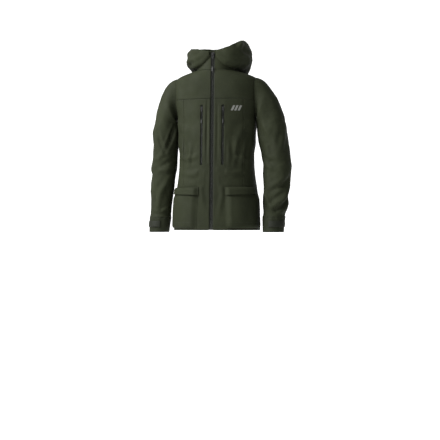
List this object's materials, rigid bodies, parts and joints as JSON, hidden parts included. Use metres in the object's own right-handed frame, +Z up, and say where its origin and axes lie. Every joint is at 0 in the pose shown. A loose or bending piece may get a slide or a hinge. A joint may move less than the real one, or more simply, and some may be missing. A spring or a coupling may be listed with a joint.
{
  "type": "hardshell jacket",
  "caption": "Hooded three-layer hardshell jacket with a full-length front zip, vertical chest zips, flapped hip pockets, hook-and-loop cuffs and a hem drawcord.",
  "frame": {"origin": "centre of the neck opening at the collar seam", "axes": "+Z up along the body, +X towards the wearer's left, the front faces -Y"},
  "size_m": [0.6133, 0.3419, 0.81],
  "materials": {
    "shell_fabric": "three-layer waterproof laminate, matt",
    "shell_fabric_dark": "the same laminate, cuffs and hem",
    "lining": "soft brushed tricot",
    "mesh": "fine pocket-bag mesh",
    "zip_tape": "water-resistant coated zip tape",
    "zip_coil": "moulded coil",
    "zip_metal": "black-coated die casting",
    "pull_cord": "woven black cord",
    "pull_grip": "moulded grip",
    "webbing": "narrow woven tape",
    "elastic": "elastic drawcord",
    "cord_lock": "moulded cord lock",
    "cuff_tab": "laminated tab with hook patch"
  },
  "bodies": {
    "torso": {"front_right": "shell_fabric", "front_left": "shell_fabric", "side_right": "shell_fabric", "side_left": "shell_fabric", "front_yoke_right": "shell_fabric", "front_yoke_left": "shell_fabric", "hip_pocket_right": "shell_fabric", "hip_pocket_left": "shell_fabric", "shoulder_gusset_right": "shell_fabric", "shoulder_gusset_left": "shell_fabric", "back_panel": "shell_fabric", "back_yoke": "shell_fabric", "collar": "shell_fabric", "hood_seam": "shell_fabric", "hem_facing": "shell_fabric_dark", "storm_flap": "shell_fabric_dark", "collar_lining": "lining", "chest_pocket_bag_right": "mesh", "chest_pocket_bag_left": "mesh", "front_zip_tapes": "zip_tape", "chest_zip_tapes_right": "zip_tape", "chest_zip_tapes_left": "zip_tape", "front_zip_coils": "zip_coil", "front_zip_stops": "zip_coil", "chest_zip_coils_right": "zip_coil", "chest_zip_coils_left": "zip_coil", "front_zip_box": "zip_metal", "hanger_loop": "webbing", "hem_drawcord": "elastic", "hem_cord_lock_right": "cord_lock", "hem_cord_lock_left": "cord_lock"},
    "hood": {"hood_shell": "shell_fabric", "hood_brim": "shell_fabric", "hood_adjuster": "shell_fabric_dark"},
    "front_slider": {"front_zip_slider": "zip_metal"},
    "front_pull": {"front_zip_pull_link": "zip_metal", "front_zip_pull_cord": "pull_cord", "front_zip_pull_grip": "pull_grip"},
    "chest_slider_right": {"chest_zip_slider_right": "zip_metal"},
    "chest_pull_right": {"chest_zip_pull_link_right": "zip_metal", "chest_zip_pull_cord_right": "pull_cord", "chest_zip_pull_grip_right": "pull_grip"},
    "hip_flap_right": {"hip_flap_right": "shell_fabric"},
    "upper_sleeve_right": {"sleeve_upper_right": "shell_fabric", "elbow_gusset_right": "shell_fabric"},
    "forearm_right": {"sleeve_lower_right": "shell_fabric", "cuff_right": "shell_fabric_dark"},
    "cuff_tab_right": {"cuff_tab_right": "cuff_tab"},
    "cord_lock_button_right": {"cord_lock_button_right": "cord_lock"},
    "chest_slider_left": {"chest_zip_slider_left": "zip_metal"},
    "chest_pull_left": {"chest_zip_pull_link_left": "zip_metal", "chest_zip_pull_cord_left": "pull_cord", "chest_zip_pull_grip_left": "pull_grip"},
    "hip_flap_left": {"hip_flap_left": "shell_fabric"},
    "upper_sleeve_left": {"sleeve_upper_left": "shell_fabric", "elbow_gusset_left": "shell_fabric"},
    "forearm_left": {"sleeve_lower_left": "shell_fabric", "cuff_left": "shell_fabric_dark"},
    "cuff_tab_left": {"cuff_tab_left": "cuff_tab"},
    "cord_lock_button_left": {"cord_lock_button_left": "cord_lock"}
  },
  "joints": [
    {"name": "hood_lift", "type": "hinge", "parent": "torso", "child": "hood", "pos_m": [0, -0.058, 0.01], "axis": [1, 0, 0], "range_deg": [0, 75], "deforming": ["hood_seam"]},
    {"name": "front_zip_slide", "type": "slide", "parent": "torso", "child": "front_slider", "axis": [0, -0.0548, -0.9985], "range_m": [0, 0.725]},
    {"name": "front_pull_swing", "type": "hinge", "parent": "front_slider", "child": "front_pull", "pos_m": [0, -0.08945, 0.06322], "axis": [-1, 0, 0], "range_deg": [0, 150]},
    {"name": "chest_zip_slide_right", "type": "slide", "parent": "torso", "child": "chest_slider_right", "axis": [0, -0.0548, -0.9985], "range_m": [0, 0.23]},
    {"name": "chest_pull_swing_right", "type": "hinge", "parent": "chest_slider_right", "child": "chest_pull_right", "pos_m": [-0.04663, -0.09757, -0.16667], "axis": [-0.9949, 0.1008, -0.0055], "range_deg": [0, 150]},
    {"name": "chest_zip_slide_left", "type": "slide", "parent": "torso", "child": "chest_slider_left", "axis": [0, -0.0548, -0.9985], "range_m": [0, 0.23]},
    {"name": "chest_pull_swing_left", "type": "hinge", "parent": "chest_slider_left", "child": "chest_pull_left", "pos_m": [0.04663, -0.09757, -0.16667], "axis": [-0.9949, -0.1008, 0.0055], "range_deg": [0, 150]},
    {"name": "hip_flap_lift_right", "type": "hinge", "parent": "torso", "child": "hip_flap_right", "pos_m": [-0.11965, -0.1085, -0.506], "axis": [-0.8755, 0.4833, 0], "range_deg": [0, 45], "stiffness_Nm_per_rad": 0.012, "springref_deg": -20.05},
    {"name": "hip_flap_lift_left", "type": "hinge", "parent": "torso", "child": "hip_flap_left", "pos_m": [0.11965, -0.1085, -0.506], "axis": [-0.8755, -0.4833, 0], "range_deg": [0, 45], "stiffness_Nm_per_rad": 0.012, "springref_deg": -20.05},
    {"name": "shoulder_lift_right", "type": "hinge", "parent": "torso", "child": "upper_sleeve_right", "pos_m": [-0.186, 0.014, -0.075], "axis": [0, 1, 0], "range_deg": [0, 65], "deforming": ["shoulder_gusset_right"]},
    {"name": "elbow_bend_right", "type": "hinge", "parent": "upper_sleeve_right", "child": "forearm_right", "pos_m": [-0.233, 0.014, -0.402], "axis": [-1, 0, 0], "range_deg": [0, 70], "deforming": ["elbow_gusset_right"]},
    {"name": "cuff_tab_peel_right", "type": "hinge", "parent": "forearm_right", "child": "cuff_tab_right", "pos_m": [-0.23659, -0.0623, -0.663], "axis": [0.0604, 0.1006, 0.9931], "range_deg": [0, 95]},
    {"name": "shoulder_lift_left", "type": "hinge", "parent": "torso", "child": "upper_sleeve_left", "pos_m": [0.186, 0.014, -0.075], "axis": [0, -1, 0], "range_deg": [0, 65], "deforming": ["shoulder_gusset_left"]},
    {"name": "elbow_bend_left", "type": "hinge", "parent": "upper_sleeve_left", "child": "forearm_left", "pos_m": [0.259, 0.014, -0.408], "axis": [-1, 0, 0], "range_deg": [0, 70], "deforming": ["elbow_gusset_left"]},
    {"name": "cuff_tab_peel_left", "type": "hinge", "parent": "forearm_left", "child": "cuff_tab_left", "pos_m": [0.23652, -0.06853, -0.663], "axis": [-0.0274, -0.1232, -0.992], "range_deg": [0, 95]},
    {"name": "cord_lock_press_right", "type": "slide", "parent": "torso", "child": "cord_lock_button_right", "axis": [0, 0, -1], "range_m": [0, 0.003], "stiffness_N_per_m": 300, "springref_m": -0.001},
    {"name": "cord_lock_press_left", "type": "slide", "parent": "torso", "child": "cord_lock_button_left", "axis": [0, 0, -1], "range_m": [0, 0.003], "stiffness_N_per_m": 300, "springref_m": -0.001}
  ]
}
